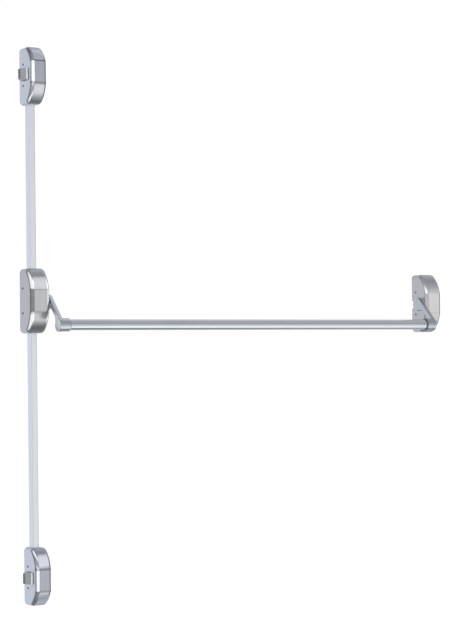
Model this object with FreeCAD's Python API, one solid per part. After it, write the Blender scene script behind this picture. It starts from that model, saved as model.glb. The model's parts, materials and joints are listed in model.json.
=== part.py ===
import FreeCAD, Part
import os
import math

# Cross-bar panic device with vertical rods, for one door leaf.
# Frame: X runs along the push bar, Y runs into the door (the door face is Y = 0 and
# the device stands out towards -Y), Z is up. The origin is the centre of the central
# case's back, on the door face. All sizes in millimetres.

# ---------------------------------------------------------------- driving dimensions
BAR_SPAN = 1240.0            # central case centre to passive case centre
TOP_Z = 576.0                # centre of the top latch case
BOTTOM_Z = -702.0            # centre of the bottom latch case

CASE_W = 54.0                # central and passive case width
CASE_D = 68.0                # their projection from the door
CASE_H = 166.0               # their height
LATCH_W = 44.0               # latch case width
LATCH_D = 72.0               # latch case projection
LATCH_H = 147.0              # latch case height
HALF_W, HALF_H = CASE_W / 2.0, CASE_H / 2.0
LATCH_HALF_W, LATCH_HALF_H = LATCH_W / 2.0, LATCH_H / 2.0
WALL = 1.8                   # case wall
PLATE_T = 3.0                # base plates

PIVOT_Y = -40.0              # arm pivot, from the door face
PIVOT_Z = -3.0
BAR_Y = -104.0               # push bar axis at rest
BAR_Z = -63.0
BAR_R = 14.0                 # push bar tube, outside radius
BAR_WALL = 1.5
ARM_T = 10.0                 # arm thickness along X
ARM_GAP = 3.0                # gap from case side to arm
ARM_X = HALF_W + ARM_GAP     # left arm's face next to the case
PUSH_ANGLE = math.radians(32.0)

SHAFT_R = 6.0
SQUARE_HALF = 4.2            # half side of the shaft's square end
MODULE = 2.0
TEETH = 14
PITCH_R = MODULE * TEETH / 2.0
PRESSURE = math.radians(20.0)
ADDENDUM = 1.6               # stub teeth, so a 14-tooth pinion isn't undercut
DEDENDUM = 2.0
BACKLASH = 0.12
GEAR_W = 13.0

ROD_R = 5.0
ROD_Y = -14.0
ROD_START = 52.0             # height where a rod leaves its rack, up or down
ROD_STUB = 5.0               # length of the thin rod end inside the rack
ROD_STUB_R = 3.0
ROD_STOP = 32.0              # latch case centre to the rod's end
ROD_COVER_W = 15.0
ROD_COVER_D = 28.0
ROD_COVER_T = 1.2
COVER_ENTRY = 6.0            # how far a rod cover enters a case
ENTRY_CLEAR = 0.15

SCREW_R = 2.0                # shank of every case and frame screw
SCREW_HOLE_R = 2.15          # its hole in a case cover
SUNK_R, SUNK_D = 4.0, 1.5    # screw heads sunk in the base plates

V = FreeCAD.Vector


# ---------------------------------------------------------------- basic shapes
def box(x0, x1, y0, y1, z0, z1):
    return Part.makeBox(x1 - x0, y1 - y0, z1 - z0, V(x0, y0, z0))


def mid_box(half_w, y0, y1, z0, z1):
    # box centred on X = 0
    return box(-half_w, half_w, y0, y1, z0, z1)


def cyl_x(radius, x0, x1, y, z):
    return Part.makeCylinder(radius, x1 - x0, V(x0, y, z), V(1, 0, 0))


def cyl_y(radius, y0, y1, x, z):
    return Part.makeCylinder(radius, y1 - y0, V(x, y0, z), V(0, 1, 0))


def pivot_cyl(radius, x0, x1):
    return cyl_x(radius, x0, x1, PIVOT_Y, PIVOT_Z)


def rod_cyl(radius, z0, z1):
    # cylinder on the rod axis
    return Part.makeCylinder(radius, z1 - z0, V(0, ROD_Y, z0), V(0, 0, 1))


def pivot_square(x0, x1):
    return box(x0, x1, PIVOT_Y - SQUARE_HALF, PIVOT_Y + SQUARE_HALF,
               PIVOT_Z - SQUARE_HALF, PIVOT_Z + SQUARE_HALF)


def prism(points, direction):
    # points: a closed outline, the last one equal to the first
    return Part.Face(Part.makePolygon(points)).extrude(direction)


def span(side, near, far):
    # the range from near to far on the plus or minus side, in rising order
    return sorted((side * near, side * far))


def fuse(shapes):
    s = shapes[0]
    for other in shapes[1:]:
        s = s.fuse(other)
    return s.removeSplitter()


def moved(s, x=0.0, y=0.0, z=0.0):
    copy = s.copy()
    copy.translate(V(x, y, z))
    return copy


def to_passive(s):
    return moved(s, BAR_SPAN)


def mirror_z(s):
    return s.mirror(V(0, 0, 0), V(0, 0, 1))


def mirror_x(s, about=0.0):
    return s.mirror(V(about, 0, 0), V(1, 0, 0))


def group(shapes):
    return Part.makeCompound([solid for s in shapes for solid in s.Solids])


def single_or_compound(s):
    if s.ShapeType == "Solid":
        return s
    if len(s.Solids) == 1:
        return s.Solids[0]
    return Part.makeCompound(s.Solids)


def round_edges(s, radius, pick):
    # guards against fillets that fail or break the solid: tries smaller radii in turn
    # and leaves the edges sharp if none holds
    edges = [e for e in s.Edges if pick(e)]
    for factor in (1.0, 0.9, 0.75, 0.5, 0.3):
        try:
            rounded = s.makeFillet(radius * factor, edges)
            if (rounded.isValid() and len(rounded.Solids) == 1
                    and rounded.Volume > 0.3 * s.Volume):
                return rounded
        except Exception:
            pass
    return s


# ---------------------------------------------------------------- case shells
def on_any(edge, faces):
    return any(edge.isSame(other) for f in faces for other in f.Edges)


def is_wall(face):
    # a face square to the door: its normal has no Y part anywhere
    u0, u1, v0, v1 = face.ParameterRange
    for a, b in ((0.3, 0.3), (0.7, 0.6)):
        if abs(face.normalAt(u0 + (u1 - u0) * a, v0 + (v1 - v0) * b).y) > 1e-4:
            return False
    return True


def back_faces(s):
    return [f for f in s.Faces
            if abs(f.BoundBox.YMin) < 1e-4 and abs(f.BoundBox.YMax) < 1e-4]


def case_body(width, top, bottom, corner_r, rim_r, crease_r):
    # The side profile is crossed with a round-cornered outline seen from the front,
    # then the whole front rim is rounded in one loop.
    # top, bottom: (z, depth) at the crease, on the arc, and where it meets the end face
    def point(z, depth):
        return V(-width / 2.0, -depth, z)

    top_z, bottom_z = top[2][0], bottom[2][0]
    profile = [
        Part.makeLine(point(bottom_z, 0), point(top_z, 0)),
        Part.makeLine(point(top_z, 0), point(*top[2])),
        Part.Arc(point(*top[2]), point(*top[1]), point(*top[0])).toShape(),
        Part.makeLine(point(*top[0]), point(*bottom[0])),
        Part.Arc(point(*bottom[0]), point(*bottom[1]), point(*bottom[2])).toShape(),
        Part.makeLine(point(*bottom[2]), point(bottom_z, 0)),
    ]
    s = Part.Face(Part.Wire(profile)).extrude(V(width, 0, 0))
    for z, depth in (top[0], bottom[0]):
        s = s.makeFillet(crease_r, [
            e for e in s.Edges if e.BoundBox.XLength > width * 0.9
            and abs(e.BoundBox.YMin + depth) < 1e-3 and abs(e.BoundBox.ZMin - z) < 1e-3])
    outline = mid_box(width / 2.0, -199, 1, bottom_z, top_z)
    outline = outline.makeFillet(corner_r, [e for e in outline.Edges
                                            if e.BoundBox.YLength > 100])
    s = s.common(outline).removeSplitter().Solids[0]
    walls = [f for f in s.Faces if is_wall(f)]
    not_front = walls + back_faces(s)
    fronts = [f for f in s.Faces if not any(f.isSame(g) for g in not_front)]
    rim = [e for e in s.Edges if on_any(e, walls) and on_any(e, fronts)]
    return s.makeFillet(rim_r, rim)


def shrink(end, side):
    # profile end of the hollow, one wall inside the case's
    (crease_z, crease_d), (arc_z, arc_d), (end_z, end_d) = end
    return ((crease_z, crease_d - WALL),
            (arc_z - side * WALL * 0.45, arc_d - WALL * 0.9),
            (end_z - side * WALL, end_d - WALL * 0.6))


def case_shell(width, top, bottom, corner_r, rim_r, crease_r):
    outer = case_body(width, top, bottom, corner_r, rim_r, crease_r)
    inner = case_body(width - 2 * WALL, shrink(top, 1), shrink(bottom, -1),
                      corner_r - WALL, rim_r - WALL, crease_r - WALL)
    # carry the hollow past the open back
    hollow = inner.fuse(back_faces(inner)[0].extrude(V(0, 2, 0)))
    return outer.cut(hollow)


def cut_screw_holes(s, half_w, spots):
    for y, z in spots:
        s = s.cut(cyl_x(SCREW_HOLE_R, -half_w - 1, half_w + 1, y, z))
    return s


def rod_entry(half_h, side):
    # opening in a case's top (side 1) or bottom (side -1) for a rod cover
    return mid_box(ROD_COVER_W / 2.0 + ENTRY_CLEAR, -ROD_COVER_D - ENTRY_CLEAR, 1,
                   *span(side, half_h - WALL - 3, half_h + 1))


# ---------------------------------------------------------------- plates and screws
def base_plate(half_case, z0, z1, ear_t, ear_y, ear_half_h, side_screws, fixings, sunk):
    # side_screws: (y, z), one ear each side; fixings: x, z, radius of the four door
    # holes; sunk: (x, z) of the screws put in from the door side
    half_w = half_case - WALL - 0.4
    ear_x = half_case - WALL - 0.2
    s = mid_box(half_w, -PLATE_T, 0, z0, z1)
    s = s.makeFillet(8.0, [e for e in s.Edges if e.BoundBox.YLength > 1e-3])
    ears = [box(*span(side, ear_x - ear_t, ear_x), ear_y, 0, z - ear_half_h, z + ear_half_h)
            for _, z in side_screws for side in (-1, 1)]
    s = fuse([s] + ears)
    for y, z in side_screws:
        s = s.cut(cyl_x(SCREW_R, -30, 30, y, z))
    fix_x, fix_z, fix_r = fixings
    for x in (-fix_x, fix_x):
        for z in (-fix_z, fix_z):
            s = s.cut(cyl_y(fix_r, -PLATE_T - 1, 1, x, z))
    for x, z in sunk:
        s = s.cut(cyl_y(SCREW_R, -PLATE_T - 1, 1, x, z)).cut(cyl_y(SUNK_R, -SUNK_D, 1, x, z))
    return s


def sunk_screws(spots, tip_y):
    return group([fuse([cyl_y(SUNK_R, -SUNK_D, 0, x, z), cyl_y(SCREW_R, tip_y, -SUNK_D, x, z)])
                  for x, z in spots])


def hexagon(radius, centre, along_u, along_v):
    return [centre + along_u * (radius * math.cos(math.pi * k / 3))
            + along_v * (radius * math.sin(math.pi * k / 3)) for k in range(7)]


def button_screw(head_r, head_h, shank_l, socket_r):
    # along X: head from 0 to head_h, shank into -X
    head = cyl_x(head_r, 0, head_h, 0, 0)
    head = round_edges(head, head_h * 0.55, lambda e: e.BoundBox.XLength < 1e-4
                       and e.BoundBox.XMin > head_h * 0.9)
    s = fuse([head, cyl_x(SCREW_R, -shank_l, 0, 0, 0)])
    socket = hexagon(socket_r, V(head_h * 0.35, 0, 0), V(0, 1, 0), V(0, 0, 1))
    return s.cut(prism(socket, V(head_h, 0, 0)))


def side_screw_set(screw, spots, half_w):
    # spots: (y, z); one screw on each side of a case at each spot
    out = []
    for y, z in spots:
        out.append(moved(screw, half_w, y, z))
        out.append(moved(mirror_x(screw), -half_w, y, z))
    return group(out)


# ---------------------------------------------------------------- springs
def coil(coil_r, wire_r, height, turns, steps=14, sides=8):
    # helical wire about Z from 0 to height, lofted straight between sections square to it
    rise = height / (2 * math.pi * turns)
    count = int(round(turns * steps))
    run = math.hypot(coil_r, rise)
    sections = []
    for i in range(count + 1):
        a = 2 * math.pi * turns * i / count
        mid = V(coil_r * math.cos(a), coil_r * math.sin(a), height * i / count)
        out = V(math.cos(a), math.sin(a), 0)
        up = V(rise * math.sin(a), -rise * math.cos(a), coil_r) * (1.0 / run)
        points = [mid + out * (wire_r * math.cos(2 * math.pi * k / sides))
                  + up * (wire_r * math.sin(2 * math.pi * k / sides)) for k in range(sides)]
        sections.append(Part.makePolygon(points + [points[0]]))
    return Part.makeLoft(sections, True, True)


def upright_spring(coil_r, wire_r, z0, z1, y, turns):
    gap = wire_r + 0.06
    return moved(coil(coil_r, wire_r, z1 - z0 - 2 * gap, turns), 0, y, z0 + gap)


def pivot_spring(coil_r, wire_r, x0, x1, turns):
    s = coil(coil_r, wire_r, x1 - x0 - 2 * wire_r, turns)
    s.rotate(V(0, 0, 0), V(0, 1, 0), 90)
    s.translate(V(x0 + wire_r, PIVOT_Y, PIVOT_Z))
    return s


pieces = {}

# ---------------------------------------------------------------- central and passive cases
# profile ends, (z, depth): crease, on the arc, at the end face
CASE_TOP = ((28.0, CASE_D), (60.0, 55.3), (HALF_H, 33.0))
CASE_BOTTOM = tuple((-z, depth) for z, depth in CASE_TOP)
SIDE_SCREWS = [(-17.5, 32.0), (-17.5, -32.0)]                        # (y, z)
FRAME_SCREWS = [(-13.0, -24.0), (13.0, -24.0), (-13.0, 20.0), (13.0, 20.0)]   # (x, z)
EAR_T = 2.4
SLOT_R = 10.5                # open slot for the shaft in the case side

case_blank = case_shell(CASE_W, CASE_TOP, CASE_BOTTOM, corner_r=12.0, rim_r=8.0, crease_r=20.0)


def case_cover(slot_side, has_rods):
    x0, x1 = span(slot_side, HALF_W - WALL - 6, HALF_W + 1)
    s = case_blank.cut(box(x0, x1, PIVOT_Y, 1, PIVOT_Z - SLOT_R, PIVOT_Z + SLOT_R))
    s = s.cut(pivot_cyl(SLOT_R, x0, x1))
    s = cut_screw_holes(s, HALF_W, SIDE_SCREWS)
    if has_rods:
        for side in (1, -1):
            s = s.cut(rod_entry(HALF_H, side))
    return s


def case_plate(slot_side):
    s = base_plate(HALF_W, -75.5, 75.5, ear_t=EAR_T, ear_y=-24, ear_half_h=5,
                   side_screws=SIDE_SCREWS, fixings=(16.0, 62.0, 3.25), sunk=FRAME_SCREWS)
    # notch behind the cover's open slot, so the cover can be pushed on over the shaft
    return s.cut(box(*span(slot_side, 20.6, 26.0), -PLATE_T - 1, 1,
                     PIVOT_Z - SLOT_R, PIVOT_Z + SLOT_R))


case_screw = button_screw(head_r=3.2, head_h=1.2, shank_l=WALL + 0.2 + EAR_T, socket_r=1.3)
case_screws = side_screw_set(case_screw, SIDE_SCREWS, HALF_W)
pieces["central_cover"] = case_cover(1, True)
pieces["passive_cover"] = to_passive(case_cover(-1, False))
pieces["central_cover_screws"] = case_screws
pieces["passive_cover_screws"] = to_passive(case_screws)
pieces["central_base_plate"] = case_plate(1)
pieces["passive_base_plate"] = to_passive(case_plate(-1))

# ---------------------------------------------------------------- frames that carry the shafts
CHEEK_IN, CHEEK_OUT = 17.0, 20.0
FRAME_Y = -6.0               # front of the frame's back web
BUSH_R = 8.0
BUSH_FLANGE_R, BUSH_FLANGE_T = 10.5, 1.5
BUSH_CLEAR = 0.05


def shaft_frame():
    walls = [mid_box(CHEEK_OUT, FRAME_Y, -PLATE_T, PIVOT_Z - 30, PIVOT_Z + 30)]
    for side in (-1, 1):
        cheek = box(*span(side, CHEEK_IN, CHEEK_OUT), -62, -PLATE_T, PIVOT_Z - 24, PIVOT_Z + 24)
        walls.append(cheek.makeFillet(8.0, [
            e for e in cheek.Edges if e.BoundBox.XLength > 1 and e.BoundBox.YMax < -60]))
    s = fuse(walls).cut(pivot_cyl(BUSH_R, -30, 30))
    for x, z in FRAME_SCREWS:
        s = s.cut(cyl_y(SCREW_R, FRAME_Y - 1, 0, x, z))
    return s


def frame_bushes():
    right = fuse([pivot_cyl(BUSH_R, CHEEK_IN - 1.0, CHEEK_OUT),
                  pivot_cyl(BUSH_FLANGE_R, CHEEK_OUT, CHEEK_OUT + BUSH_FLANGE_T)])
    right = right.cut(pivot_cyl(SHAFT_R + BUSH_CLEAR, 10, 30))
    return group([right, mirror_x(right)])


pieces["gear_frame"] = shaft_frame()
pieces["gear_frame_screws"] = sunk_screws(FRAME_SCREWS, FRAME_Y)
pieces["passive_frame_screws"] = to_passive(sunk_screws(FRAME_SCREWS, FRAME_Y))
pieces["gear_frame_bushes"] = frame_bushes()
pieces["passive_frame_bushes"] = to_passive(frame_bushes())

# ---------------------------------------------------------------- shafts, clips and keys
SHAFT_X0 = -24.4             # clip end of the shaft
SQUARE_X = 25.0              # where the round shaft turns square
SQUARE_SOCKET = ARM_T - 1.5  # how far the square goes into the arm
CLIP_X0, CLIP_X1 = -23.5, -22.5
CLIP_R = 8.5
GROOVE_R = 5.0
KEY_W = 4.0
KEY_BOTTOM, KEY_TOP = 3.8, 8.0    # above the pivot axis


def key_block(half_l, bottom, top):
    return box(-half_l, half_l, PIVOT_Y - KEY_W / 2.0, PIVOT_Y + KEY_W / 2.0,
               PIVOT_Z + bottom, PIVOT_Z + top)


def arm_shaft():
    # round in the frame, square in the arm
    s = fuse([pivot_cyl(SHAFT_R, SHAFT_X0, SQUARE_X),
              pivot_square(SQUARE_X, ARM_X + SQUARE_SOCKET)])
    groove = pivot_cyl(20, CLIP_X0 - 0.1, CLIP_X1 + 0.1).cut(pivot_cyl(GROOVE_R, -24, -22))
    return s.cut(groove).cut(key_block(GEAR_W / 2.0, KEY_BOTTOM, 20))


def shaft_clip():
    # ring open downwards
    s = pivot_cyl(CLIP_R, CLIP_X0, CLIP_X1).cut(pivot_cyl(GROOVE_R, -24, -22))
    return s.cut(box(-24, -22, PIVOT_Y - 3.5, PIVOT_Y + 3.5, PIVOT_Z - 9, PIVOT_Z))


def bore_for_shaft(s):
    return s.cut(pivot_cyl(SHAFT_R, -10, 10)).cut(key_block(10, 0, KEY_TOP))


shaft_key = key_block(GEAR_W / 2.0, KEY_BOTTOM, KEY_TOP)
pieces["drive_shaft"] = arm_shaft()
pieces["drive_shaft_clip"] = shaft_clip()
pieces["passive_shaft"] = to_passive(mirror_x(arm_shaft()))
pieces["passive_shaft_clip"] = to_passive(mirror_x(shaft_clip()))
pieces["pinion_key"] = shaft_key
pieces["stop_lever_key"] = to_passive(shaft_key)

# ---------------------------------------------------------------- pinion and racks
FRONT_PITCH = PIVOT_Y - PITCH_R
REAR_PITCH = PIVOT_Y + PITCH_R
FRONT_ROOT = FRONT_PITCH - DEDENDUM
REAR_ROOT = REAR_PITCH + DEDENDUM
FRONT_RACK_T = 5.0
REAR_RACK_T = 6.0
RACK_HALF_W = 6.0
FOOT_HALF_W = 7.0            # rack foot that holds the rod
FOOT_H = 8.0
FOOT_Y = -7.0
RACK_CLEAR = 0.1
BLOCK_TOP = 24.0             # top of the slide block, under the return spring


def involute(a):
    return math.tan(a) - a


def drive_pinion():
    # spur gear about the pivot with a tooth centred on -Y
    base_r = PITCH_R * math.cos(PRESSURE)
    tip_r, root_r = PITCH_R + ADDENDUM, PITCH_R - DEDENDUM
    half_pitch = (math.pi * MODULE / 2.0 - BACKLASH) / 2.0 / PITCH_R

    def half_angle(r):
        return (half_pitch + involute(PRESSURE)
                - involute(math.acos(min(1.0, base_r / r))))

    polar = []
    for k in range(TEETH):
        centre = math.pi + 2 * math.pi * k / TEETH
        polar.append((root_r, centre - half_angle(base_r)))
        for i in range(7):
            r = base_r + (tip_r - base_r) * i / 6.0
            polar.append((r, centre - half_angle(r)))
        for i in range(7):
            r = tip_r - (tip_r - base_r) * i / 6.0
            polar.append((r, centre + half_angle(r)))
        polar.append((root_r, centre + half_angle(base_r)))
    points = [V(-GEAR_W / 2.0, PIVOT_Y + r * math.cos(a), PIVOT_Z + r * math.sin(a))
              for r, a in polar]
    return bore_for_shaft(prism(points + [points[0]], V(GEAR_W, 0, 0)))


def rack_teeth(pitch_y, side, numbers):
    # teeth pointing along side*Y from a rack whose pitch line is at pitch_y
    pitch = math.pi * MODULE
    half = pitch / 4.0 - BACKLASH / 2.0
    root_half = half + DEDENDUM * math.tan(PRESSURE)
    tip_half = half - ADDENDUM * math.tan(PRESSURE)
    root = pitch_y - side * DEDENDUM
    tip = pitch_y + side * ADDENDUM
    back = root - side * 0.5
    outline = [(back, -root_half), (root, -root_half), (tip, -tip_half), (tip, tip_half),
               (root, root_half), (back, root_half), (back, -root_half)]
    out = []
    for k in numbers:
        centre_z = PIVOT_Z + (k + 0.5) * pitch
        points = [V(-RACK_HALF_W, y, centre_z + dz) for y, dz in outline]
        out.append(prism(points, V(2 * RACK_HALF_W, 0, 0)))
    return out


def upper_rack():
    bars = [mid_box(RACK_HALF_W, FRONT_ROOT - FRONT_RACK_T, FRONT_ROOT, -24, 34),
            mid_box(RACK_HALF_W, FRONT_ROOT, FRONT_ROOT + 6, 26, ROD_START),
            mid_box(FOOT_HALF_W, FRONT_ROOT, FOOT_Y, ROD_START - FOOT_H, ROD_START)]
    s = fuse(bars + rack_teeth(FRONT_PITCH, 1, range(-3, 4)))
    return s.cut(rod_cyl(ROD_STUB_R, ROD_START - ROD_STUB, ROD_START + 1))


def lower_rack():
    bars = [mid_box(RACK_HALF_W, REAR_ROOT, REAR_ROOT + REAR_RACK_T, -ROD_START, 19.8),
            mid_box(FOOT_HALF_W, REAR_ROOT, FOOT_Y, -ROD_START, -ROD_START + FOOT_H)]
    s = fuse(bars + rack_teeth(REAR_PITCH, -1, range(-4, 3)))
    return s.cut(rod_cyl(ROD_STUB_R, -ROD_START - 1, -ROD_START + ROD_STUB))


def front_rack_guide():
    # web between the cheeks with a lip on each side of the front rack
    web_y = FRONT_ROOT - FRONT_RACK_T - RACK_CLEAR
    z0, z1 = PIVOT_Z - 16, PIVOT_Z + 16
    lip = (RACK_HALF_W + RACK_CLEAR, 9.5)
    return fuse([mid_box(CHEEK_IN, -65.4, web_y, z0, z1)]
                + [box(*span(side, *lip), web_y, web_y + 4, z0, z1) for side in (-1, 1)])


pieces["drive_pinion"] = drive_pinion()
pieces["upper_rack"] = upper_rack()
pieces["lower_rack"] = lower_rack()
pieces["front_rack_guide"] = front_rack_guide()
pieces["rear_slide_block"] = mid_box(8, REAR_ROOT + REAR_RACK_T + RACK_CLEAR, FRAME_Y,
                                     -20, BLOCK_TOP)
pieces["return_spring"] = upright_spring(coil_r=4.0, wire_r=0.75, z0=BLOCK_TOP,
                                         z1=ROD_START - FOOT_H, y=-12.3, turns=5)

# ---------------------------------------------------------------- rods, nuts, covers, guides
NUT_H = 6.0
UPPER_GUIDES = (170.0, 410.0)
LOWER_GUIDES = (-230.0, -520.0)
GUIDE_HOLE_R = 2.25
GUIDE_HOLE_Z = 18.0          # hole above the guide's centre


def rod_nut(z0, z1):
    # hexagon squeezed along Y
    points = hexagon(8.0 / math.cos(math.pi / 6), V(0, ROD_Y, z0), V(1, 0, 0), V(0, 0.86, 0))
    return prism(points, V(0, 0, z1 - z0)).cut(rod_cyl(ROD_R, z0 - 1, z1 + 1))


def round_long_front(s, radius):
    return s.makeFillet(radius, [e for e in s.Edges
                                 if e.BoundBox.ZLength > 10 and e.BoundBox.YMax < -1])


def rod_cover(z0, z1):
    # channel open towards the door
    half = ROD_COVER_W / 2.0
    inner_half = half - ROD_COVER_T
    s = round_long_front(mid_box(half, -ROD_COVER_D, 0, z0, z1), 2.5)
    hollow = mid_box(inner_half, -ROD_COVER_D + ROD_COVER_T, 0, z0 - 1, z1 + 1)
    hollow = round_long_front(hollow, 1.3)
    return s.cut(hollow.fuse(mid_box(inner_half, -5, 2, z0 - 1, z1 + 1)))


def rod_guide(z):
    # block round the rod with a flat tab above it, against the door
    half = ROD_COVER_W / 2.0 - ROD_COVER_T - 0.1
    s = fuse([mid_box(half, -24, 0, z - 8, z + 8), mid_box(half, -3.5, 0, z - 8, z + 26)])
    s = s.cut(rod_cyl(ROD_R + 0.2, z - 30, z + 30))
    return s.cut(cyl_y(GUIDE_HOLE_R, -5, 1, 0, z + GUIDE_HOLE_Z))


pieces["upper_rod"] = fuse([rod_cyl(ROD_R, ROD_START, TOP_Z - ROD_STOP),
                            rod_cyl(ROD_STUB_R, ROD_START - ROD_STUB, ROD_START)])
pieces["lower_rod"] = fuse([rod_cyl(ROD_R, BOTTOM_Z + ROD_STOP, -ROD_START),
                            rod_cyl(ROD_STUB_R, -ROD_START, -ROD_START + ROD_STUB)])
pieces["upper_rod_nut"] = rod_nut(ROD_START, ROD_START + NUT_H)
pieces["lower_rod_nut"] = rod_nut(-ROD_START - NUT_H, -ROD_START)
pieces["upper_rod_cover"] = rod_cover(HALF_H - COVER_ENTRY, TOP_Z - LATCH_HALF_H + COVER_ENTRY)
pieces["lower_rod_cover"] = rod_cover(BOTTOM_Z + LATCH_HALF_H - COVER_ENTRY,
                                      -HALF_H + COVER_ENTRY)
pieces["upper_rod_guides"] = group([rod_guide(z) for z in UPPER_GUIDES])
pieces["lower_rod_guides"] = group([rod_guide(z) for z in LOWER_GUIDES])

# ---------------------------------------------------------------- lever arms and push bar
HUB_R = 19.0                 # arm hub
BOSS_R = 17.8                # arm boss
COLLAR_L = 22.0
COLLAR_SCREW_X = ARM_T + 12  # from the arm's case side
SOCKET_X = 6.0               # how far the bar goes into the boss
COLLAR_SET_R = 2.5
HUB_SET_R = 2.0


def arm_plate():
    dy, dz = BAR_Y - PIVOT_Y, BAR_Z - PIVOT_Z
    length = math.hypot(dy, dz)
    along_y, along_z = dy / length, dz / length
    across_y, across_z = along_z, -along_y     # towards the user and up

    def point(u, v):
        # u along the arm from the pivot, v across it
        return V(0.0, PIVOT_Y + u * along_y + v * across_y,
                 PIVOT_Z + u * along_z + v * across_z)

    def on_round(radius, angle, centre_u):
        return (centre_u + radius * math.cos(angle), radius * math.sin(angle))

    # the upper edge is tangent to both rounds
    tangent = math.acos((HUB_R - BOSS_R) / length)
    hub_top = point(*on_round(HUB_R, tangent, 0.0))
    boss_top = point(*on_round(BOSS_R, tangent, length))
    hub_low = on_round(HUB_R, math.radians(-42.0), 0.0)
    boss_low = on_round(BOSS_R, math.radians(-134.0), length)
    # hollow lower edge, (u, v) from the boss to the hub
    lower_edge = [boss_low, (length - 19.5, -3.2), (length - 27.0, 2.2), (length * 0.5, 3.4),
                  (27.0, 1.2), (20.0, -4.2), hub_low]
    spline = Part.BSplineCurve()
    spline.interpolate([point(*uv) for uv in lower_edge])
    hub_arc = Part.Arc(point(*hub_low), point(-HUB_R, 0.0), hub_top).toShape()
    boss_arc = Part.Arc(boss_top, point(length + BOSS_R, 0.0), point(*boss_low)).toShape()
    wire = Part.Wire([Part.makeLine(hub_top, boss_top), boss_arc, spline.toShape(), hub_arc])
    return Part.Face(wire).extrude(V(ARM_T, 0, 0))


def lever_arm():
    # X = 0 is the face next to the case; the collar that holds the bar points to +X
    plate = round_edges(arm_plate(), 1.6, lambda e: e.BoundBox.XLength < 1e-4
                        and e.BoundBox.XMin > -1)
    collar = cyl_x(BOSS_R - 0.6, ARM_T - 2.0, ARM_T + COLLAR_L, BAR_Y, BAR_Z)
    collar = collar.makeChamfer(2.2, [e for e in collar.Edges if e.BoundBox.XLength < 1e-4
                                      and e.BoundBox.XMin > ARM_T + 5])
    s = fuse([plate, collar])
    s = s.cut(cyl_x(BAR_R, ARM_T - SOCKET_X, ARM_T + COLLAR_L + 1, BAR_Y, BAR_Z))
    s = s.cut(pivot_square(-1, SQUARE_SOCKET))
    # set screw holes in the collar and the hub, both from the door side
    s = s.cut(cyl_y(COLLAR_SET_R, BAR_Y + 5, BAR_Y + 30, COLLAR_SCREW_X, BAR_Z))
    return s.cut(cyl_y(HUB_SET_R, PIVOT_Y + SQUARE_HALF, PIVOT_Y + 30, ARM_T / 2.0, PIVOT_Z))


def set_screw(radius, y0, y1, x, z):
    socket = hexagon(radius * 0.5, V(x, y1 - 2.0, z), V(1, 0, 0), V(0, 0, 1))
    return cyl_y(radius, y0, y1, x, z).cut(prism(socket, V(0, 4, 0)))


def arm_set_screws():
    left = [set_screw(COLLAR_SET_R, BAR_Y + BAR_R, BAR_Y + BOSS_R - 1.2,
                      ARM_X + COLLAR_SCREW_X, BAR_Z),
            set_screw(HUB_SET_R, PIVOT_Y + SQUARE_HALF, PIVOT_Y + HUB_R - 3.0,
                      ARM_X + ARM_T / 2.0, PIVOT_Z)]
    return group(left + [mirror_x(s, BAR_SPAN / 2.0) for s in left])


def push_bar():
    x0 = ARM_X + ARM_T - SOCKET_X
    x1 = BAR_SPAN - x0
    return cyl_x(BAR_R, x0, x1, BAR_Y, BAR_Z).cut(
        cyl_x(BAR_R - BAR_WALL, x0 - 1, x1 + 1, BAR_Y, BAR_Z))


arm = lever_arm()
pieces["left_arm"] = moved(arm, ARM_X)
pieces["right_arm"] = moved(mirror_x(arm), BAR_SPAN - ARM_X)
pieces["arm_set_screws"] = arm_set_screws()
pieces["push_bar"] = push_bar()

# ---------------------------------------------------------------- passive side stop
LEVER_R = 10.0
LEVER_L = 25.0
LEVER_HALF_W = 4.0
STOP_R = 3.0
STOP_REACH = 17.0            # pivot to stop pin, along the lever


def stop_spots():
    # (y, z) of the pins that touch the lever at rest and when the bar is pushed
    offset = LEVER_HALF_W + STOP_R + 0.05
    sin_a, cos_a = math.sin(PUSH_ANGLE), math.cos(PUSH_ANGLE)
    return [(PIVOT_Y + offset, PIVOT_Z + STOP_REACH),
            (PIVOT_Y - STOP_REACH * sin_a - offset * cos_a,
             PIVOT_Z + STOP_REACH * cos_a - offset * sin_a)]


def stop_lever():
    half_l = GEAR_W / 2.0
    return bore_for_shaft(fuse([
        pivot_cyl(LEVER_R, -half_l, half_l),
        mid_box(half_l, PIVOT_Y - LEVER_HALF_W, PIVOT_Y + LEVER_HALF_W,
                PIVOT_Z, PIVOT_Z + LEVER_L)]))


def passive_frame():
    s = shaft_frame()
    for y, z in stop_spots():
        s = s.cut(cyl_x(STOP_R, -30, 30, y, z))
    return s


stop_pins = group([cyl_x(STOP_R, -CHEEK_OUT, CHEEK_OUT, y, z) for y, z in stop_spots()])
pieces["stop_lever"] = to_passive(stop_lever())
pieces["stop_pins"] = to_passive(stop_pins)
pieces["passive_frame"] = to_passive(passive_frame())
pieces["passive_spring"] = to_passive(
    pivot_spring(coil_r=8.3, wire_r=0.9, x0=7.2, x1=15.6, turns=3.5))

# ---------------------------------------------------------------- latch cases
# Built as the top one, about the case centre; the bottom one is its mirror.
# profile ends, (z, depth): crease, on the arc, at the end face
LATCH_TOP = ((34.5, LATCH_D - 0.4), (56.0, 58.6), (LATCH_HALF_H, 35.0))
LATCH_BOTTOM = ((-21.0, LATCH_D), (-49.0, 62.4), (-LATCH_HALF_H, 38.0))
LATCH_SCREWS = [(-22.5, 29.0), (-22.5, -26.0)]     # (y, z)
HOUSING_SCREWS = [(0.0, 20.5), (0.0, -17.0)]       # (x, z)
HOUSING_TIP_Y = -8.0         # tip of the housing screws
LATCH_EAR_T = 2.2

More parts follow.
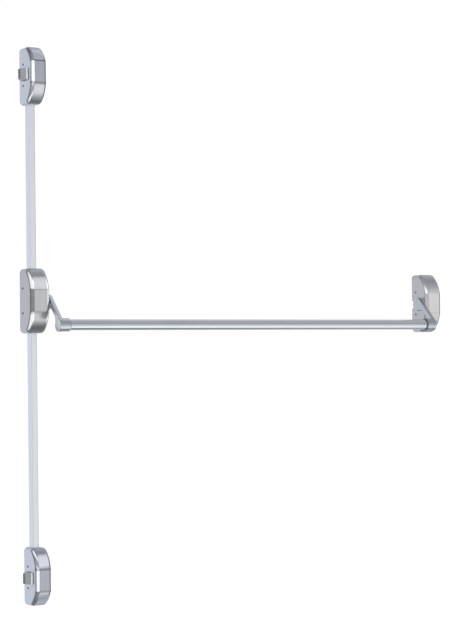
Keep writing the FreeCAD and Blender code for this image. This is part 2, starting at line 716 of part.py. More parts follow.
CAM_RATIO = 1.5              # bolt travel per rod travel
TRAVEL = PITCH_R * PUSH_ANGLE
BOLT_OUT = 12.0              # latch bolt projection from the case side
BOLT_H = 30.0
BOLT_Z = 2.0                 # bolt centre above the case centre
BOLT_Z0, BOLT_Z1 = BOLT_Z - BOLT_H / 2.0, BOLT_Z + BOLT_H / 2.0
BOLT_Y0 = -51.5              # bolt face on the user side
BOLT_Y1 = -18.0              # bolt holding face on the door side
BEVEL_Y = -28.0              # door-side end of the bolt's bevel
BOLT_GAP = 0.1               # bolt to housing
PIN_R = 3.0
PIN_CLEAR = 0.05
PIN_Y0, PIN_Y1 = -40.0, -11.0
CAM_Y0, CAM_Y1 = -16.0, -12.0
CAM_FOOT_Z = -44.0           # cam foot, on top of the spring
LEDGE_Z0, LEDGE_Z1 = -64.0, -60.0    # housing ledge under the spring


def latch_cover():
    s = case_shell(LATCH_W, LATCH_TOP, LATCH_BOTTOM, corner_r=10.0, rim_r=7.5, crease_r=12.0)
    s = s.cut(box(-LATCH_HALF_W - 1, -LATCH_HALF_W + WALL + 2, BOLT_Y0 - 0.5, BOLT_Y1 + 0.5,
                  BOLT_Z0 - 0.5, BOLT_Z1 + 0.5))
    s = cut_screw_holes(s, LATCH_HALF_W, LATCH_SCREWS)
    # small round hole above the bolt
    s = s.cut(cyl_x(1.5, -LATCH_HALF_W - 1, 0, -46.0, BOLT_Z1 + 4.6))
    return s.cut(rod_entry(LATCH_HALF_H, -1))


def latch_housing():
    s = fuse([box(-20, 19.6, BOLT_Y0 - 4, -PLATE_T, -20, 24),
              mid_box(12, -6, -PLATE_T, LEDGE_Z0, 24),
              mid_box(10, -22, -6, LEDGE_Z0, LEDGE_Z1)])
    # bolt channel, then the room for the cam plate
    s = s.cut(mid_box(21, BOLT_Y0 - BOLT_GAP, BOLT_Y1 + BOLT_GAP,
                      BOLT_Z0 - BOLT_GAP, BOLT_Z1 + BOLT_GAP))
    s = s.cut(box(-10, 21, BOLT_Y1 - BOLT_GAP, -9, -21, 25))
    s = s.cut(rod_cyl(ROD_R + 0.3, -70, -55))
    for x, z in HOUSING_SCREWS:
        s = s.cut(cyl_y(SCREW_R, HOUSING_TIP_Y, 0, x, z))
    return s


def latch_bolt():
    tip_x = -LATCH_HALF_W - BOLT_OUT
    bevel_x = -LATCH_HALF_W - 4.0
    s = box(tip_x, 4.0, BOLT_Y0, BOLT_Y1, BOLT_Z0, BOLT_Z1)
    # bevel on the user side, (x, y)
    bevel = [(bevel_x, BOLT_Y0), (tip_x, BEVEL_Y), (tip_x - 5, BEVEL_Y),
             (tip_x - 5, BOLT_Y0 - 5), (bevel_x, BOLT_Y0 - 5), (bevel_x, BOLT_Y0)]
    s = s.cut(prism([V(x, y, BOLT_Z0 - 1) for x, y in bevel], V(0, 0, BOLT_H + 2)))
    # lower corner of the tip, (x, z)
    corner = [(tip_x - 1, BOLT_Z0 + 6.0), (tip_x - 1, BOLT_Z0 - 1),
              (tip_x + 7.0, BOLT_Z0 - 1), (tip_x - 1, BOLT_Z0 + 6.0)]
    s = s.cut(prism([V(x, BOLT_Y0 - 1, z) for x, z in corner], V(0, 40, 0)))
    return s.cut(cyl_y(PIN_R, PIN_Y0, BOLT_Y1 + 1, 0, BOLT_Z))


def cam_plate():
    s = fuse([box(-8, 18.6, CAM_Y0, CAM_Y1, -12, 17),
              mid_box(5, CAM_Y0, CAM_Y1, -30, -12),
              rod_cyl(7.0, CAM_FOOT_Z, -28)])
    s = s.cut(rod_cyl(ROD_R, CAM_FOOT_Z - 1, -ROD_STOP))
    # sloping slot for the pin
    run_x, run_z = TRAVEL * CAM_RATIO, TRAVEL
    slot_r = PIN_R + PIN_CLEAR
    length = math.hypot(run_x, run_z)
    side_x, side_z = -run_z / length * slot_r, run_x / length * slot_r
    y0, y1 = CAM_Y0 - 1, CAM_Y1 + 1
    slot = [(side_x, side_z), (run_x + side_x, run_z + side_z),
            (run_x - side_x, run_z - side_z), (-side_x, -side_z), (side_x, side_z)]
    s = s.cut(prism([V(x, y0, BOLT_Z + z) for x, z in slot], V(0, y1 - y0, 0)))
    for x, z in ((0, BOLT_Z), (run_x, BOLT_Z + run_z)):
        s = s.cut(cyl_y(slot_r, y0, y1, x, z))
    return s


def latch_spring(z0, z1):
    return upright_spring(coil_r=6.15, wire_r=0.7, z0=z0, z1=z1, y=ROD_Y, turns=4)


latch_screw = button_screw(head_r=2.9, head_h=1.1, shank_l=WALL + 0.2 + LATCH_EAR_T,
                           socket_r=1.2)
latch = {
    "latch_cover": latch_cover(),
    "cover_screws": side_screw_set(latch_screw, LATCH_SCREWS, LATCH_HALF_W),
    "base_plate": base_plate(LATCH_HALF_W, -67.0, 71.0, ear_t=LATCH_EAR_T, ear_y=-28,
                             ear_half_h=4, side_screws=LATCH_SCREWS,
                             fixings=(15.5, 49.0, 2.75), sunk=HOUSING_SCREWS),
    "latch_housing": latch_housing(),
    "housing_screws": sunk_screws(HOUSING_SCREWS, HOUSING_TIP_Y),
    "latch_bolt": latch_bolt(),
    "latch_pin": cyl_y(PIN_R, PIN_Y0, PIN_Y1, 0, BOLT_Z),
    "cam_plate": cam_plate(),
}
for name, s in latch.items():
    pieces["top_" + name] = moved(s, 0, 0, TOP_Z)
    pieces["bottom_" + name] = moved(mirror_z(s), 0, 0, BOTTOM_Z)
# both springs are wound the same way, so the bottom one isn't mirrored
pieces["top_latch_spring"] = latch_spring(TOP_Z + LEDGE_Z1, TOP_Z + CAM_FOOT_Z)
pieces["bottom_latch_spring"] = latch_spring(BOTTOM_Z - CAM_FOOT_Z, BOTTOM_Z - LEDGE_Z1)

# ---------------------------------------------------------------- one file per piece
os.makedirs("parts", exist_ok=True)
for name, s in pieces.items():
    single_or_compound(s).exportStep("parts/" + name + ".step")
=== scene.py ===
"""Push-bar latch set: looks, floor, light and camera for its CAD pieces.

Metres, +Z up. The front faces -Y. The central case stands at x = 0 and the passive
case at x = CASE_SPAN, with the push bar and its two arms between them. The top and
bottom latches lie above and below the central case, joined to it by the rod covers.
"""
import json
import math
from functools import cached_property

import bpy
from mathutils import Matrix, Vector

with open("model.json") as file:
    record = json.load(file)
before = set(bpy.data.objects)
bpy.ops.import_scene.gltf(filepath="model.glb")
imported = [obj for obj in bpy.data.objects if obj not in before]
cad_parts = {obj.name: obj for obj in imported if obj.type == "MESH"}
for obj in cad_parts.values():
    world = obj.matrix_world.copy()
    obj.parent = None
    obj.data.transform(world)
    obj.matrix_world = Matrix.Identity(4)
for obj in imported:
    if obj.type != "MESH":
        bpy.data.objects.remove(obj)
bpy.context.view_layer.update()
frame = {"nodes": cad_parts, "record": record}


nodes = frame["nodes"]
scene = bpy.context.scene
scene.view_settings.view_transform = "Standard"
scene.view_settings.look = "None"

CASE_SPAN = 1.24              # central case to passive case, along X
FLOOR_Z = -1.05


# ------------------------------------------------------------------ node helpers
def scaled(colour, factor):
    return tuple(min(1.0, v * factor) for v in colour)


def along(axis, lengthwise, across):
    """Noise stretch whose streaks run along one axis: the smaller, the longer."""
    return tuple(lengthwise if a == axis else across for a in "XYZ")


def feed(socket, value):
    """Link a socket, or set a number or an RGB colour."""
    if hasattr(value, "node"):
        socket.id_data.links.new(value, socket)
    elif hasattr(value, "__len__"):
        socket.default_value = (*value, 1.0)
    else:
        socket.default_value = value


class Shader:
    """Builds the node tree of a material or world. Each method returns an output socket."""

    def __init__(self, owner):
        owner.use_nodes = True
        self.tree = owner.node_tree
        self.tree.nodes.clear()
        self.coord = self.add("ShaderNodeTexCoord")

    def add(self, kind, **props):
        node = self.tree.nodes.new(kind)
        for key, value in props.items():
            setattr(node, key, value)
        return node

    def math(self, operation, *values, clamp=False):
        node = self.add("ShaderNodeMath", operation=operation, use_clamp=clamp)
        for socket, value in zip(node.inputs, values):
            feed(socket, value)
        return node.outputs[0]

    def invert(self, value):
        return self.math("SUBTRACT", 1.0, value)

    def vector(self, operation, *vectors):
        node = self.add("ShaderNodeVectorMath", operation=operation)
        for socket, value in zip(node.inputs, vectors):
            feed(socket, value)
        return node.outputs[0]

    def separate(self, vector):
        node = self.add("ShaderNodeSeparateXYZ")
        feed(node.inputs[0], vector)
        return tuple(node.outputs)

    def combine(self, *values):
        node = self.add("ShaderNodeCombineXYZ")
        for socket, value in zip(node.inputs, values):
            feed(socket, value)
        return node.outputs[0]

    def remap(self, value, start, end, low=0.0, high=1.0, kind="SMOOTHSTEP"):
        """Carry start..end to low..high, held level beyond both."""
        node = self.add("ShaderNodeMapRange", interpolation_type=kind)
        node.inputs["From Min"].default_value = start
        node.inputs["From Max"].default_value = end
        node.inputs["To Min"].default_value = low
        node.inputs["To Max"].default_value = high
        feed(node.inputs["Value"], value)
        return node.outputs["Result"]

    def ramp(self, value, stops):
        """Eased colour ramp. Each stop is a position and a grey level or RGB colour."""
        node = self.add("ShaderNodeValToRGB")
        node.color_ramp.interpolation = "EASE"
        elements = node.color_ramp.elements
        while len(elements) < len(stops):
            elements.new(1.0)
        for element, (position, colour) in zip(elements, stops):
            element.position = position
            rgb = colour if hasattr(colour, "__len__") else (colour,) * 3
            element.color = (*rgb, 1.0)
        feed(node.inputs["Fac"], value)
        return node.outputs["Color"]

    def mix(self, factor, first, second, blend="MIX"):
        node = self.add("ShaderNodeMix", data_type="RGBA", blend_type=blend)
        # the colour mode uses inputs 0, 6 and 7, and output 2
        for index, value in ((0, factor), (6, first), (7, second)):
            feed(node.inputs[index], value)
        return node.outputs[2]


class Surface(Shader):
    """Material with one Principled shader, textured in object space."""

    def __init__(self, name):
        self.mat = bpy.data.materials.new(name)
        super().__init__(self.mat)
        self.bsdf = self.add("ShaderNodeBsdfPrincipled")
        out = self.add("ShaderNodeOutputMaterial")
        feed(out.inputs["Surface"], self.bsdf.outputs["BSDF"])

    @cached_property
    def place(self):
        """X, Y and Z of the shaded point."""
        return self.separate(self.coord.outputs["Object"])

    def normal(self):
        return self.add("ShaderNodeNewGeometry").outputs["Normal"]

    def noise(self, scale=1.0, stretch=(1, 1, 1), detail=2.0, rough=0.5, distortion=0.0,
              offset=(0, 0, 0)):
        mapping = self.add("ShaderNodeMapping")
        mapping.inputs["Scale"].default_value = stretch
        mapping.inputs["Location"].default_value = offset
        feed(mapping.inputs["Vector"], self.coord.outputs["Object"])
        node = self.add("ShaderNodeTexNoise")
        node.inputs["Scale"].default_value = scale
        node.inputs["Detail"].default_value = detail
        node.inputs["Roughness"].default_value = rough
        node.inputs["Distortion"].default_value = distortion
        feed(node.inputs["Vector"], mapping.outputs["Vector"])
        return node.outputs["Fac"]

    def vary(self, noise, low, high):
        """Carry the usual span of a noise, 0.3 to 0.7, to low..high."""
        return self.remap(noise, start=0.3, end=0.7, low=low, high=high, kind="LINEAR")

    def tones(self, noise, base, stops):
        """Ramp over shades of one colour. Each stop is a position and a brightness."""
        return self.ramp(noise, [(position, scaled(base, k)) for position, k in stops])

    def multiply(self, colour, other):
        return self.mix(1.0, colour, other, "MULTIPLY")

    def dim(self, colour, level):
        return self.multiply(colour, self.combine(level, level, level))

    def bump(self, height, strength, distance, normal=None):
        node = self.add("ShaderNodeBump")
        node.inputs["Strength"].default_value = strength
        node.inputs["Distance"].default_value = distance
        feed(node.inputs["Height"], height)
        if normal is not None:
            feed(node.inputs["Normal"], normal)
        return node.outputs["Normal"]

    def set(self, **inputs):
        for key, value in inputs.items():
            feed(self.bsdf.inputs[key.replace("_", " ")], value)


# ------------------------------------------------------------------ parts of brushed metal
def soft_rims(s, centre, half_width, radius, soft, left, right):
    """Normal of a case whose front rims were polished a little beyond their rounding.

    left and right say how far the normal leans outwards at the -X and +X rims, and
    soft how far the lean reaches beyond the rounding radius.
    """
    normal = s.normal()
    normal_y = s.separate(normal)[1]
    facing = s.remap(s.math("MULTIPLY", normal_y, -1.0), start=0.1, end=0.5)
    peak = 0.7 * radius

    def lean(distance, amount):
        rise = s.remap(distance, start=0.0, end=peak)
        fall = s.invert(s.remap(distance, start=peak, end=radius + soft))
        return s.math("MULTIPLY", s.math("MULTIPLY", rise, fall), amount)

    x = s.place[0]
    push = s.math("SUBTRACT",
                  lean(s.math("SUBTRACT", centre + half_width, x), right),
                  lean(s.math("SUBTRACT", x, centre - half_width), left))
    sideways = s.combine(s.math("MULTIPLY", push, facing))
    return s.vector("NORMALIZE", s.vector("ADD", normal, sideways))


def crease(s, colour, smudge, front_y, height, half_width, depth):
    """Painted shade: a slightly darker line where two facets join, on the front only."""
    wander = 0.0008           # how far the line strays in height
    fade = 0.004              # the line fades in over this depth, up to front_y
    x, y, z = s.place
    strayed = s.math("ADD", z, s.math("MULTIPLY", smudge, wander))
    off = s.math("ABSOLUTE", s.math("SUBTRACT", strayed, height + wander / 2))
    line = s.remap(off, start=0.0, end=half_width, low=1 - depth, high=1.0)
    front = s.remap(y, start=front_y + fade, end=front_y)
    return s.dim(colour, s.invert(s.math("MULTIPLY", front, s.invert(line))))


def grease_film(s, colour, base, amount):
    """Painted shade: the faces a bolt slides on, above and below, are darkened."""
    normal_z = s.separate(s.normal())[2]
    level = s.remap(s.math("ABSOLUTE", normal_z), start=0.6, end=0.8, kind="LINEAR")
    return s.mix(s.math("MULTIPLY", level, amount), colour, scaled(base, 0.10))


def painted_end_shade(s, colour, smudge, dark_x, unshaded_x, level):
    """Painted shade at one end of a piece: the nose of a latch bolt, and a painted contact shadow
    at the joint of bar and arm.
    """
    x = s.math("ADD", s.place[0], s.math("MULTIPLY", smudge, 0.0006))
    return s.dim(colour, s.remap(x, start=dark_x, end=unshaded_x, low=level, high=1.0))


def side_glow(s, strength):
    """Painted light: the +X faces glow faintly, standing in for light in the narrow gap between
    arm and case.
    """
    normal_x = s.separate(s.normal())[0]
    glow = s.remap(normal_x, start=0.6, end=0.9, high=strength, kind="LINEAR")
    s.set(Emission_Color=(0.92, 0.96, 1.0), Emission_Strength=glow)


# ------------------------------------------------------------------ kinds of material
def brushed_metal(name, base, rough, grain, offset=(0, 0, 0), grain_depth=1.0, cloud=0.05,
                  streak=0.0, creases=(), crease_y=0.0, grease=0.0, end=None, rims=None,
                  glow=0.0):
    """Satin metal with long fine scratches along one axis, faint clouding and flecks; optionally
    painted shade lines at creases, painted shade on slide faces and at one end, and a painted
    glow on +X faces.
    """
    s = Surface(name)
    fine = s.noise(stretch=along(grain, 6.0, 1400.0), detail=3.0, rough=0.6, offset=offset)
    coarse = s.noise(stretch=along(grain, 30.0, 420.0), offset=offset)
    smudge = s.noise(scale=9.0, detail=4.0, rough=0.6, distortion=0.6, offset=offset)
    speck = s.noise(scale=260.0, detail=1.0, offset=offset)
    scratches = s.math("ADD", s.math("MULTIPLY", fine, 0.8), s.math("MULTIPLY", coarse, 0.2))

    colour = s.tones(scratches, base, [(0.30, 0.93), (0.50, 1.0), (0.72, 1.05)])
    clouds = s.ramp(smudge, [(0.28, 1 - cloud), (0.55, 1.0), (0.78, 1 - cloud * 0.4)])
    colour = s.multiply(colour, clouds)
    colour = s.multiply(colour, s.ramp(speck, [(0.16, 0.92), (0.22, 1.0)]))
    if streak:
        # wide uneven brush strokes
        band = s.noise(stretch=along(grain, 5.0, 330.0), offset=offset)
        strokes = s.ramp(band, [(0.34, 1 - streak), (0.50, 1.0), (0.66, 1 + streak)])
        colour = s.multiply(colour, strokes)
    # painted shade: darker lines where two facets meet
    for height, half_width, depth in creases:
        colour = crease(s, colour, smudge, crease_y, height, half_width, depth)
    # painted shade on the faces a bolt slides on
    if grease:
        colour = grease_film(s, colour, base, grease)
    # painted shade at one end: a bolt nose, or a painted contact shadow at a joint
    if end:
        colour = painted_end_shade(s, colour, smudge, **end)
    # painted light: a faint glow on the +X faces
    if glow:
        side_glow(s, glow)

    roughness = s.math("ADD", s.vary(smudge, low=rough - 0.02, high=rough + 0.03),
                       s.vary(scratches, low=-0.02, high=0.02), clamp=True)
    normal = s.bump(scratches, strength=0.09 * grain_depth, distance=0.00003,
                    normal=soft_rims(s, **rims) if rims else None)
    normal = s.bump(smudge, strength=0.04, distance=0.0003, normal=normal)
    s.set(Base_Color=colour, Metallic=1.0, Roughness=roughness, Normal=normal)
    return s.mat


def cast_metal(name, base, rough):
    """Fine-grained cast surface with shallow pitting and darker hollows."""
    s = Surface(name)
    skin = s.noise(scale=420.0, detail=4.0, rough=0.65)
    flow = s.noise(scale=24.0, detail=3.0, distortion=0.8)
    colour = s.tones(skin, base, [(0.30, 0.82), (0.52, 1.0), (0.75, 1.10)])
    colour = s.multiply(colour, s.ramp(flow, [(0.3, 0.93), (0.6, 1.0)]))
    s.set(Base_Color=colour, Metallic=0.9,
          Roughness=s.vary(skin, low=rough - 0.05, high=rough + 0.08),
          Normal=s.bump(skin, strength=0.35, distance=0.00015))
    return s.mat


def plated_steel(name, base, rough):
    """Zinc-plated sheet: patchy bloom and faint rolling lines."""
    s = Surface(name)
    bloom = s.noise(scale=38.0, detail=3.0, rough=0.55, distortion=1.2)
    roll = s.noise(stretch=along("Z", 14.0, 900.0))
    warm = tuple(min(1, v * k) for v, k in zip(base, (1.10, 1.08, 1.0)))
    colour = s.ramp(bloom, [(0.30, scaled(base, 0.86)), (0.50, base), (0.72, warm)])
    colour = s.multiply(colour, s.ramp(roll, [(0.3, 0.92), (0.6, 1.0)]))
    s.set(Base_Color=colour, Metallic=0.95,
          Roughness=s.vary(bloom, low=rough - 0.05, high=rough + 0.10),
          Normal=s.bump(roll, strength=0.15, distance=0.00005))
    return s.mat


def machined_steel(name, base, rough, axis="X"):
    """Cutter marks around an axis under a thin oil film."""
    s = Surface(name)
    marks = s.noise(stretch=along(axis, 1600.0, 200.0))
    oil = s.noise(scale=60.0, detail=3.0, rough=0.6, distortion=0.5)
    colour = s.tones(marks, base, [(0.3, 0.80), (0.52, 1.0), (0.75, 1.12)])
    colour = s.multiply(colour, s.ramp(oil, [(0.32, (0.86, 0.84, 0.80)), (0.6, 1.0)]))
    s.set(Base_Color=colour, Metallic=1.0,
          Roughness=s.vary(oil, low=rough - 0.06, high=rough + 0.08),
          Normal=s.bump(marks, strength=0.3, distance=0.00005))
    return s.mat


def bronze(name):
    """Porous bronze in uneven tones."""
    s = Surface(name)
    pore = s.noise(scale=900.0)
    tone = s.noise(scale=70.0, detail=3.0, distortion=0.4)
    colour = s.ramp(tone, [(0.3, (0.42, 0.25, 0.10)), (0.55, (0.60, 0.40, 0.18)),
                           (0.8, (0.70, 0.50, 0.26))])
    colour = s.multiply(colour, s.ramp(pore, [(0.28, 0.6), (0.38, 1.0)]))
    s.set(Base_Color=colour, Metallic=1.0, Roughness=s.vary(tone, low=0.28, high=0.42),
          Normal=s.bump(pore, strength=0.3, distance=0.00008))
    return s.mat


def nylon(name, base):
    """Dark grained plastic with paler worn patches."""
    s = Surface(name)
    grain = s.noise(scale=700.0, detail=3.0, rough=0.6)
    wear = s.noise(scale=45.0, detail=3.0, rough=0.6, distortion=0.5)
    s.set(Base_Color=s.tones(wear, base, [(0.3, 1.0), (0.7, 1.5)]),
          Roughness=s.vary(wear, low=0.42, high=0.60),
          Normal=s.bump(grain, strength=0.25, distance=0.0001), IOR=1.53)
    return s.mat


# ------------------------------------------------------------------ materials
materials = {}


def make(build, name, **look):
    materials[name] = build(name, **look)


CASE_RIM = dict(half_width=0.027, radius=0.008, soft=0.007)
LATCH_RIM = dict(centre=0.0, half_width=0.022, radius=0.0075, soft=0.006,
                 left=0.55, right=0.12)
LATCH_CASE = dict(rough=0.20, grain="Z", grain_depth=0.35, crease_y=-0.066, streak=0.055,
                  rims=LATCH_RIM)
ARM = dict(base=(0.56, 0.575, 0.61), rough=0.30, grain="Z", offset=(0.2, 0.5, 0.9),
           grain_depth=0.8, cloud=0.07)

# The case copies differ in base brightness as painted light and shade: the passive case a little
# lighter, the latch cases darker, to match how each is lit.
# creases: height, half width and darkening of each painted shade line
make(brushed_metal, "case_central", base=(0.63, 0.632, 0.64), rough=0.20, grain="Z",
     creases=((0.0275, 0.005, 0.12), (-0.031, 0.006, 0.22)), crease_y=-0.062, streak=0.03,
     rims=dict(CASE_RIM, centre=0.0, left=0.33, right=0.12))
make(brushed_metal, "case_passive", base=(0.65, 0.645, 0.65), rough=0.24, grain="Z",
     offset=(3.1, 0.4, 0.2), grain_depth=0.5,
     creases=((0.0275, 0.005, 0.05), (-0.029, 0.006, 0.08)), crease_y=-0.062, streak=0.03,
     rims=dict(CASE_RIM, centre=CASE_SPAN, left=0.30, right=0.08))
make(brushed_metal, "case_top", base=(0.540, 0.556, 0.600), offset=(0.7, 1.9, 0.3),
     creases=((0.6105, 0.0046, 0.42), (0.5535, 0.0052, 0.50)), **LATCH_CASE)
make(brushed_metal, "case_bottom", base=(0.534, 0.553, 0.608), offset=(1.3, 0.2, 2.3),
     creases=((-0.6805, 0.0052, 0.50), (-0.7365, 0.0046, 0.42)), **LATCH_CASE)
# The bar carries a painted contact shadow where it enters the right arm's collar.
make(brushed_metal, "bar", base=(0.645, 0.662, 0.69), rough=0.13, grain="X",
     grain_depth=0.6, end=dict(dark_x=1.1795, unshaded_x=1.1745, level=0.60))
make(brushed_metal, "arm", **ARM)
# The right arm's copy carries a painted contact shadow at the collar mouth and a painted glow on
# its +X faces.
make(brushed_metal, "arm_right", end=dict(dark_x=1.1812, unshaded_x=1.1835, level=0.50),
     glow=0.30, **ARM)
make(brushed_metal, "rod_cover", base=(0.80, 0.825, 0.87), rough=0.32, grain="Z",
     offset=(0.9, 0.1, 0.4), grain_depth=0.6, cloud=0.03)
make(machined_steel, "screw", base=(0.42, 0.43, 0.46), rough=0.32)
make(plated_steel, "plate", base=(0.58, 0.60, 0.63), rough=0.36)
make(bronze, "bush")
make(machined_steel, "shaft", base=(0.60, 0.60, 0.62), rough=0.22)
make(machined_steel, "gear", base=(0.44, 0.45, 0.47), rough=0.34, axis="Z")
make(nylon, "nylon", base=(0.030, 0.031, 0.034))
make(machined_steel, "spring", base=(0.30, 0.30, 0.33), rough=0.28, axis="Z")
make(brushed_metal, "rod", base=(0.62, 0.64, 0.66), rough=0.30, grain="Z",
     offset=(0.1, 0.8, 0.6))
make(cast_metal, "casting", base=(0.42, 0.43, 0.46), rough=0.48)
# The latch bolt carries painted shade on its top and bottom slide faces and on its nose.
make(brushed_metal, "latch", base=(0.74, 0.75, 0.77), rough=0.24, grain="Y",
     offset=(0.4, 0.2, 0.1), grain_depth=0.5, grease=0.8,
     end=dict(dark_x=-0.0335, unshaded_x=-0.0325, level=0.22))

# pieces with a material of their own
NODE_MATERIAL = {"right_arm": "arm_right", "central_cover": "case_central",
                 "passive_cover": "case_passive", "top_latch_cover": "case_top",
                 "bottom_latch_cover": "case_bottom"}
# every other slot is named like its material
SLOT_MATERIAL = {"bar_tube": "bar", "slide_block": "nylon", "bolt": "latch"}
slot_of = {part["node"]: part["material_slot"] for part in frame["record"]["subparts"]}

for name, ob in nodes.items():
    key = NODE_MATERIAL.get(name)
    if key is None:
        key = SLOT_MATERIAL.get(slot_of[name], slot_of[name])
    ob.data.materials.clear()
    ob.data.materials.append(materials[key])
    for polygon in ob.data.polygons:
        polygon.material_index = 0


# ------------------------------------------------------------------ floor
def floor_paint():
    """Near-white paint that gives off a little light."""
    s = Surface("floor_paint")
    patches = s.noise(scale=1.4, detail=3.0)
    s.set(Base_Color=s.ramp(patches, [(0.3, 0.93), (0.7, 0.96)]), Roughness=0.8,
          Emission_Color=(1, 1, 1), Emission_Strength=0.62)
    return s.mat


floor_mesh = bpy.data.meshes.new("floor")
floor_corners = [(-30, -30), (30, -30), (30, 60), (-30, 60)]
floor_mesh.from_pydata([(x, y, FLOOR_Z) for x, y in floor_corners], [], [(0, 1, 2, 3)])
floor = bpy.data.objects.new("floor", floor_mesh)
scene.collection.objects.link(floor)
floor_mesh.materials.append(floor_paint())
floor.visible_glossy = False

# ------------------------------------------------------------------ studio world
# Angle about the X axis in degrees (0 in front, + above, 180 behind), level, blueness
FRONT_RING = [
    (-180, 0.74, 0.055), (-150, 0.72, 0.05), (-130, 0.72, 0.05), (-116, 0.50, 0.05),
    (-100, 0.32, 0.06), (-88, 0.20, 0.07), (-78, 0.19, 0.05), (-70, 0.28, 0.03),
    (-61, 0.54, 0), (-49, 0.92, 0), (-20, 0.95, 0), (-12, 0.62, 0),
    (-7, 0.70, 0), (-3, 0.84, 0), (5, 0.84, 0), (10, 0.62, 0.02),
    (16, 0.50, 0.06), (56, 0.50, 0.07), (70, 0.38, 0.03), (84, 0.40, 0.05),
    (98, 0.60, 0.06), (116, 0.62, 0.06), (150, 0.64, 0.055), (180, 0.74, 0.055),
]
# Z of the direction, level, blueness
LEFT_SIDE = [
    (-1.0, 0.45, 0.04), (-0.85, 0.50, 0.04), (-0.50, 0.45, 0.03), (-0.18, 0.86, 0),
    (0.18, 0.86, 0), (0.50, 0.45, 0.03), (0.85, 0.50, 0.04), (1.0, 0.45, 0.04),
]
RIGHT_SIDE = [(-1.0, 0.5, 0), (-0.5, 0.42, 0.04), (0.0, 0.32, 0.05), (0.5, 0.42, 0.04),
              (1.0, 0.5, 0)]


def sky_ramp(s, value, stops):
    """Ramp over -1..1, already carried to 0..1, in slightly blue greys."""
    return s.ramp(value, [
        ((p + 1) / 2.0, (level * (1 - blue), level * (1 - 0.35 * blue), level * (1 + 0.8 * blue)))
        for p, level, blue in stops])


def sky_colour(s):
    """Studio seen in reflections: a ring about X, closed by a left and a right side."""
    def dimmed(colour, mask, amount):
        node = s.add("ShaderNodeVectorMath", operation="SCALE")
        feed(node.inputs[0], colour)
        feed(node.inputs["Scale"], s.invert(s.math("MULTIPLY", mask, amount)))
        return node.outputs[0]

    x, y, z = s.separate(s.coord.outputs["Generated"])
    to_left = s.math("MULTIPLY", x, -1.0)
    to_front = s.math("MULTIPLY", y, -1.0)
    angle = s.math("DIVIDE", s.math("ARCTAN2", z, to_front), math.pi)
    angle = s.math("MULTIPLY_ADD", angle, 0.5, 0.5)
    height = s.math("MULTIPLY_ADD", z, 0.5, 0.5)

    ring = sky_ramp(s, angle, [(d / 180.0, level, blue) for d, level, blue in FRONT_RING])
    left = sky_ramp(s, height, LEFT_SIDE)
    right = sky_ramp(s, height, RIGHT_SIDE)
    not_behind = s.invert(s.remap(y, start=0.50, end=0.76))

    # the left side weakens towards the back
    left = dimmed(left, s.remap(y, start=-0.25, end=0.30), amount=0.45)
    leftward = s.remap(to_left, start=-0.06, end=0.24)
    colour = s.mix(s.math("MULTIPLY", leftward, not_behind), ring, left)
    # a dark patch at mid height on the left
    level_band = s.invert(s.remap(s.math("ABSOLUTE", z), start=0.12, end=0.32))
    patch = s.math("MULTIPLY", level_band, s.remap(to_left, start=-0.25, end=0.0))
    colour = dimmed(colour, s.math("MULTIPLY", patch, not_behind), amount=0.62)
    return s.mix(s.remap(x, start=0.78, end=0.93), colour, right)


def background(s, colour, strength):
    node = s.add("ShaderNodeBackground")
    feed(node.inputs["Color"], colour)
    node.inputs["Strength"].default_value = strength
    return node.outputs[0]


world = bpy.data.worlds.new("studio")
scene.world = world
sky = Shader(world)
# the camera sees plain white, everything else the studio
switch = sky.add("ShaderNodeMixShader")
feed(switch.inputs[0], sky.add("ShaderNodeLightPath").outputs["Is Camera Ray"])
feed(switch.inputs[1], background(sky, sky_colour(sky), strength=1.0))
feed(switch.inputs[2], background(sky, (1, 1, 1), strength=1.02))
feed(sky.add("ShaderNodeOutputWorld").inputs["Surface"], switch.outputs[0])

# ------------------------------------------------------------------ light cards
CARD_DISTANCE = 14.0
CARD_AIM = Vector((0.3, 0, 0))
UNBLOCKED = ("passive_gap", "arm_fill")       # only the floor may shadow these

CENTRAL = ["central_cover"]
PASSIVE = ["passive_cover"]
TOP = ["top_latch_cover"]
BOTTOM = ["bottom_latch_cover"]
BOLTS = ["top_latch_bolt", "bottom_latch_bolt"]
RODS = ["upper_rod_cover", "lower_rod_cover"]
BAR = ["push_bar"]
LEFT_ARM = ["left_arm"]
RIGHT_ARM = ["right_arm"]
COOL = (0.92, 0.97, 1.05)

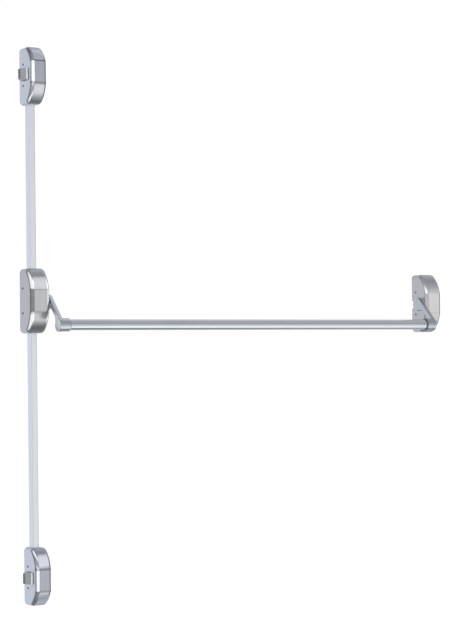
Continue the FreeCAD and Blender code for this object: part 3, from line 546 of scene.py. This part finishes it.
# name, direction towards the card, (width, height) in degrees, radiance,
# pieces it lights, colour if not white
CARDS = [
    ("high_front", (0.40, -0.69, 0.60), (60, 46), 0.56, CENTRAL + BOTTOM),
    ("high_passive", (0.50, -0.80, 0.32), (60, 26), 0.22, PASSIVE),
    ("right_edge", (0.95, -0.30, 0.0), (44, 80), 1.20, CENTRAL),
    ("right_rim", (0.95, -0.30, 0.0), (44, 80), 0.10, PASSIVE),
    ("latch_front", (0.40, -0.91, 0.10), (50, 40), 0.09, TOP + BOTTOM),
    ("fillet_high", (-0.55, -0.50, 0.66), (84, 50), 0.95, CENTRAL),
    ("fillet_low", (-0.55, -0.50, -0.64), (84, 50), 1.0, CENTRAL),
    ("fillet_passive", (-0.68, -0.66, 0.36), (70, 30), 1.10, PASSIVE),
    ("passive_gap", (-0.93, 0.36, 0.0), (56, 60), 0.25, PASSIVE, (0.93, 0.97, 1.03)),
    ("fillet_passive_low", (-0.72, -0.40, -0.56), (56, 30), 0.2, PASSIVE),
    ("fillet_top", (-0.62, -0.24, -0.75), (66, 26), 1.3, TOP),
    ("fillet_bottom", (-0.62, -0.24, 0.75), (66, 26), 1.3, BOTTOM),
    ("arm_fill", (-0.40, 0.90, 0.05), (50, 50), 5.0, LEFT_ARM, (0.97, 0.98, 1.0)),
    ("latch_edge_top", (-0.60, -0.77, 0.16), (74, 34), 1.6, TOP),
    ("latch_edge_bottom", (-0.60, -0.77, -0.13), (74, 34), 1.6, BOTTOM),
    ("latch_turn_top", (-0.90, 0.30, 0.13), (56, 22), 0.30, TOP, COOL),
    ("latch_turn_bottom", (-0.90, 0.30, -0.13), (56, 22), 0.30, BOTTOM, COOL),
    ("latch_slope_low", (0.40, -0.66, -0.66), (60, 60), 0.32, TOP),
    ("latch_slope_high", (0.40, -0.72, 0.60), (60, 54), 0.22, BOTTOM),
    ("latch_end_high", (0.40, -0.15, 0.91), (60, 34), 0.34, TOP),
    ("latch_end_low", (0.40, -0.15, -0.91), (60, 36), 0.42, BOTTOM),
    ("latch_side", (-0.40, 0.915, 0.0), (44, 60), 0.26, TOP + BOTTOM + BOLTS, COOL),
    ("bolt_face", (-0.92, 0.36, 0.0), (44, 50), 0.20, BOLTS, COOL),
    ("bar_low", (0.40, -0.60, -0.68), (90, 40), 0.42, BAR + LEFT_ARM + RIGHT_ARM),
    ("bar_lower", (0.40, -0.41, -0.82), (90, 16), 0.45, BAR + LEFT_ARM),
    ("bar_top", (0.40, 0.12, 0.91), (90, 44), 0.16, BAR, (0.97, 0.99, 1.0)),
    ("arm_top", (0.40, 0.09, 0.91), (50, 30), 0.40, LEFT_ARM, (0.90, 0.96, 1.0)),
    ("arm_side", (-0.60, 0.80, 0.03), (44, 50), 0.22, RIGHT_ARM, COOL),
    ("passive_front", (0.60, -0.80, 0.02), (40, 40), 0.20, PASSIVE, (1.0, 0.97, 0.94)),
    ("passive_edge", (-0.80, -0.60, 0.0), (60, 34), 0.15, PASSIVE),
    ("rod_side", (-0.40, 0.915, 0.0), (44, 70), 0.16, RODS, COOL),
    ("rod_front", (0.40, -0.915, 0.03), (40, 50), 0.20, RODS),
    ("rod_edge", (-0.78, -0.62, 0.0), (84, 60), 0.70, RODS),
]


def link_group(name, members):
    group = bpy.data.collections.new(name)
    for member in members:
        group.objects.link(member)
    return group


def card(name, direction, spread, radiance, receivers, colour=(1, 1, 1)):
    """Far soft card seen in one direction; it lights only the pieces named."""
    light = bpy.data.lights.new(name, "AREA")
    light.shape = "RECTANGLE"
    light.size, light.size_y = (
        2 * CARD_DISTANCE * math.tan(math.radians(angle) / 2) for angle in spread)
    light.energy = radiance * math.pi * light.size * light.size_y
    light.color = colour
    ob = bpy.data.objects.new(name, light)
    towards = Vector(direction).normalized()
    ob.location = CARD_AIM + towards * CARD_DISTANCE
    ob.rotation_euler = (-towards).to_track_quat("-Z", "Y").to_euler()
    ob.visible_camera = False
    scene.collection.objects.link(ob)
    lit = [nodes[receiver] for receiver in receivers]
    ob.light_linking.receiver_collection = link_group(name + "_on", lit)
    if name in UNBLOCKED:
        ob.light_linking.blocker_collection = link_group(name + "_by", [floor])


for row in CARDS:
    card(*row)

# ------------------------------------------------------------------ camera
CAMERA_PLACE = (-1.9063, -4.2400, -0.1566)
# radians: heading from +Y towards +X, upward pitch, roll about the view line
HEADING, PITCH, ROLL = 0.5328, 0.0221, -0.0122

cam_data = bpy.data.cameras.new("camera")
cam_data.sensor_fit = "AUTO"
cam_data.sensor_width = 36.0  # mm
cam_data.lens = 101.25        # mm
cam_data.clip_end = 200.0
cam = bpy.data.objects.new("camera", cam_data)
scene.collection.objects.link(cam)
forward = Vector((math.sin(HEADING) * math.cos(PITCH), math.cos(HEADING) * math.cos(PITCH),
                  math.sin(PITCH)))
level_right = Vector((math.cos(HEADING), -math.sin(HEADING), 0))
level_up = level_right.cross(forward)
cos_roll, sin_roll = math.cos(ROLL), math.sin(ROLL)
right = level_right * cos_roll + level_up * sin_roll
up = level_right * (-sin_roll) + level_up * cos_roll
pose = Matrix((right, up, -forward)).transposed().to_4x4()
pose.translation = Vector(CAMERA_PLACE)
cam.matrix_world = pose
scene.camera = cam
